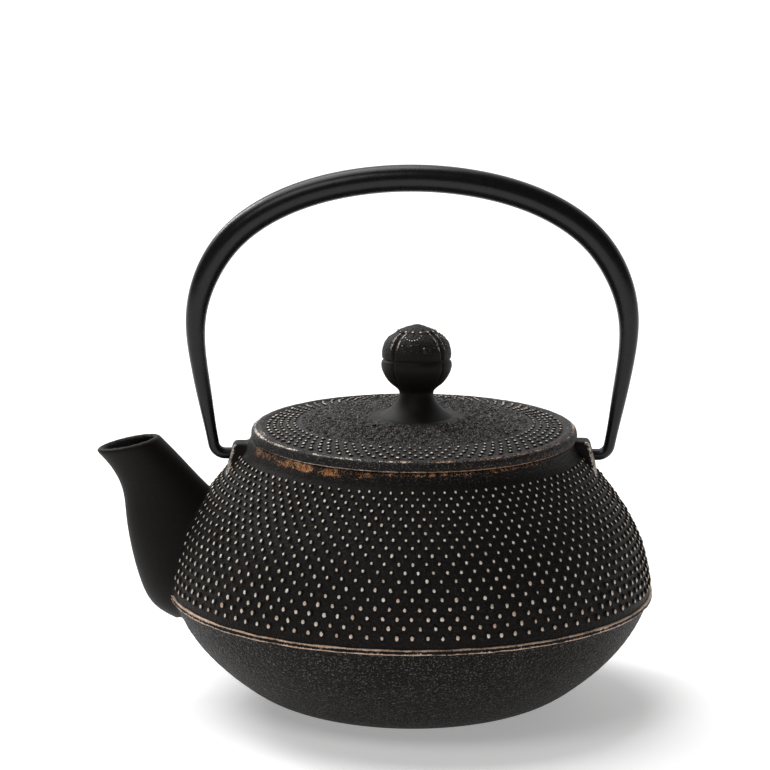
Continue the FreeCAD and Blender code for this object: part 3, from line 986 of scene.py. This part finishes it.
def add_camera():
    e, roll = math.radians(CAMERA_ELEVATION), math.radians(CAMERA_ROLL)
    back = Vector((0, -math.cos(e), math.sin(e)))
    right = Vector((1, 0, 0))
    up = back.cross(right)
    turned_right = right * math.cos(roll) + up * math.sin(roll)
    turned_up = up * math.cos(roll) - right * math.sin(roll)
    data = bpy.data.cameras.new("camera")
    data.lens = CAMERA_LENS
    data.clip_end = 50.0
    camera = bpy.data.objects.new("camera", data)
    bpy.context.scene.collection.objects.link(camera)
    place = (Vector(CAMERA_TARGET) + back * CAMERA_DISTANCE) * MM
    matrix = Matrix((turned_right, turned_up, back)).transposed().to_4x4()
    camera.matrix_world = Matrix.Translation(place) @ matrix
    bpy.context.scene.camera = camera


def add_softbox(name, place, target, size, power):
    data = bpy.data.lights.new(name, "AREA")
    data.shape = "RECTANGLE"
    data.size, data.size_y = size
    data.energy = power
    light = bpy.data.objects.new(name, data)
    bpy.context.scene.collection.objects.link(light)
    light.location = place
    light.rotation_euler = (Vector(target) - Vector(place)).to_track_quat("-Z", "Y").to_euler()


def add_floor():
    rings = turned_rings([(r, FLOOR_Z) for r in FLOOR_RINGS], FLOOR_SIDES)
    verts = [(0, 0, FLOOR_Z)] + list(rings.reshape(-1, 3))
    faces = grid_faces(len(FLOOR_RINGS), FLOOR_SIDES, 1)
    faces += [(0, 1 + i, 1 + (i + 1) % FLOOR_SIDES) for i in range(FLOOR_SIDES)]
    floor = mesh_object("floor", verts, faces)
    p = Paint("pale_floor", roughness=0.9, specular=0.1)
    colour = p.blend(p.noise(400.0), rgb(0.93, 0.93, 0.93), rgb(0.90, 0.90, 0.90))
    p.shader.inputs["Emission Color"].default_value = rgb(1, 1, 1)
    p.shader.inputs["Emission Strength"].default_value = 0.34
    set_material(floor, p.finish(Base_Color=colour))


def add_world():
    """A dark studio with a bright wall behind the pot. The camera sees plain white."""
    world = bpy.data.worlds.new("studio")
    bpy.context.scene.world = world
    world.use_nodes = True
    tree = world.node_tree
    room = tree.nodes["Background"]
    room.inputs["Strength"].default_value = 1.0
    direction = tree.nodes.new("ShaderNodeTexCoord").outputs["Generated"]
    split = tree.nodes.new("ShaderNodeSeparateXYZ")
    tree.links.new(direction, split.inputs[0])
    wall = tree.nodes.new("ShaderNodeMapRange")
    wall.interpolation_type = "SMOOTHSTEP"
    wall.inputs["From Min"].default_value = 0.15
    wall.inputs["From Max"].default_value = 0.75
    wall.inputs["To Min"].default_value = ROOM_DIM
    wall.inputs["To Max"].default_value = ROOM_WALL
    tree.links.new(split.outputs["Y"], wall.inputs["Value"])
    tree.links.new(wall.outputs["Result"], room.inputs["Color"])
    seen = tree.nodes.new("ShaderNodeBackground")
    seen.inputs["Color"].default_value = rgb(0.99, 0.99, 0.99)
    path = tree.nodes.new("ShaderNodeLightPath")
    mix = tree.nodes.new("ShaderNodeMixShader")
    tree.links.new(path.outputs["Is Camera Ray"], mix.inputs["Fac"])
    tree.links.new(room.outputs[0], mix.inputs[1])
    tree.links.new(seen.outputs[0], mix.inputs[2])
    tree.links.new(mix.outputs[0], tree.nodes["World Output"].inputs["Surface"])


def add_sun(direction, strength, angle):
    """A broad even light, so that the floor is as bright far away as it is near the pot."""
    data = bpy.data.lights.new("key", "SUN")
    data.energy = strength
    data.angle = math.radians(angle)
    sun = bpy.data.objects.new("key", data)
    bpy.context.scene.collection.objects.link(sun)
    sun.rotation_euler = Vector(direction).to_track_quat("Z", "Y").to_euler()


# ---------------------------------------------------------------- build

# glint sets the painted glints. The lid's copy is a lit copy of the pot's iron: a slightly lighter coat and
# full-strength painted glints paint in the light that falls on the lid's top, while the pot's iron has them
# at 0.42.
pot_black = iron("black_iron", rgb(0.0042, 0.0036, 0.0033), rgb(0.0080, 0.0058, 0.0048), 0.42)
lid_black_painted_light = iron("lid_iron", rgb(0.0046, 0.0040, 0.0036), rgb(0.0100, 0.0078, 0.0066), 1.0, 0.17)
stainless = steel_paint("stainless", rgb(0.36, 0.355, 0.345), 0.24, 0.40, (1, 1, 14))
cloth_steel = steel_paint("stainless_cloth", rgb(0.40, 0.395, 0.38), 0.25, 0.35, (1, 1, 1))
zinc = steel_paint("zinc_plate", rgb(0.42, 0.43, 0.44), 0.28, 0.42, (1, 1, 6))

pieces = [
    (build_pot(), "pot", ["bowl_casting", "shoulder_casting", "spout_casting"], "black_iron", pot_black),
    (build_lid(), "lid", ["lid_casting"], "lid_iron", lid_black_painted_light),
    (build_knob(), "lid", ["plum_knob"], "lid_iron", lid_black_painted_light),
    (build_bail(), "bail", ["bail"], "bail_steel", bail_paint()),
    (build_wall_mesh(), "infuser", ["infuser_mesh_wall"], "stainless_mesh", cloth_steel),
    (build_floor_mesh(), "infuser", ["infuser_mesh_floor"], "stainless_mesh", cloth_steel),
]
for piece, body, nodes, slot, material in pieces:
    set_material(piece, material)
    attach(piece, body)
    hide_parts(*nodes)

carried_over = {
    "enamel_lining": enamel_paint(),
    "infuser_rim": stainless,
    "infuser_base_ring": stainless,
    "infuser_seam": stainless,
    "knob_stud": zinc,
    "stud_washer": zinc,
    "stud_nut": zinc,
}
for node, material in carried_over.items():
    set_material(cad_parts[node], material)

add_floor()
add_world()
add_sun((-0.30, 0.36, 0.88), 2.1, 48)
add_softbox("front", (-0.55, -0.85, 1.30), (0, 0, 0.08), (0.8, 0.6), 6.0)
add_softbox("strip", (-0.95, 1.00, 0.95), (0, 0, 0.12), (0.22, 0.6), 7.0)
add_camera()
bpy.context.scene.view_settings.view_transform = "Standard"
